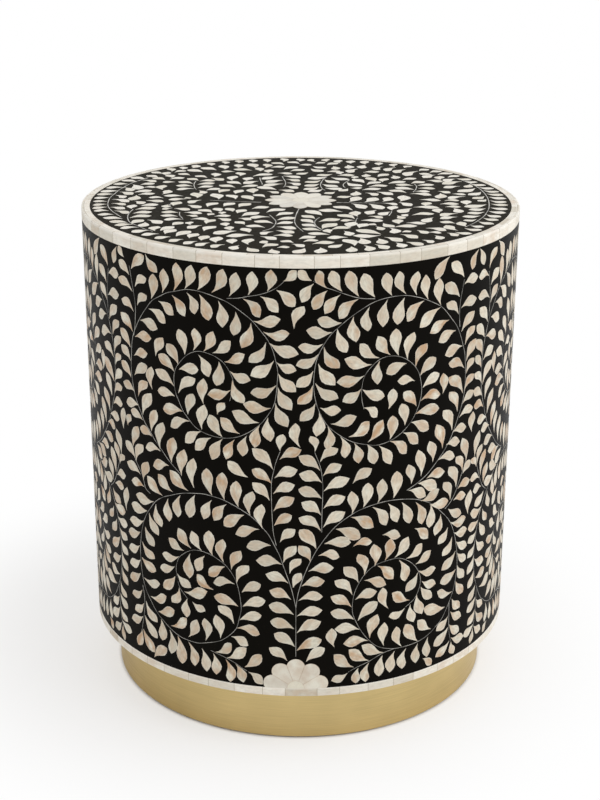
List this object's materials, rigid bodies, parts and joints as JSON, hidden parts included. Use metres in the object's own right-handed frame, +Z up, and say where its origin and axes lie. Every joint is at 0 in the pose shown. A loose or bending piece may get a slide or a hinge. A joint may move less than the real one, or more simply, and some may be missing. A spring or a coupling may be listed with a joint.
{
  "type": "drum stool",
  "caption": "Round drum stool with a leafy bone inlay in black resin over a wooden drum, on a set-back brass-finish plinth.",
  "frame": {"origin": "centre of the footprint on the floor", "axes": "+Z up along the drum's axis; -Y is the middle of the front panel"},
  "size_m": [0.4, 0.4, 0.458],
  "materials": {
    "bone": "cattle bone, sanded flush and waxed",
    "black_resin": "poured resin, polished to a soft gloss",
    "board": "sanded board",
    "bent_ply": "bent plywood",
    "softwood": "planed softwood",
    "dowel_wood": "turned beech",
    "brass": "satin, brushed round the hoop",
    "zinc_steel": "zinc plated",
    "felt": "pressed felt"
  },
  "bodies": {
    "root": {"rim_edge_tiles": "bone", "rim_top_tiles": "bone", "lower_band_tiles": "bone", "side_flower_petals": "bone", "side_flower_hubs": "bone", "top_flower_petals": "bone", "top_flower_hub": "bone", "side_resin": "black_resin", "top_resin": "black_resin", "top_board": "board", "bottom_board": "board", "upper_former": "board", "middle_former": "board", "lower_former": "board", "drum_shell": "bent_ply", "plinth_core": "bent_ply", "battens": "softwood", "plinth_blocks": "softwood", "batten_dowels": "dowel_wood", "plinth_hoop": "brass", "top_board_screws": "zinc_steel", "bottom_board_screws": "zinc_steel", "plinth_screws": "zinc_steel", "floor_pads": "felt"}
  },
  "joints": []
}
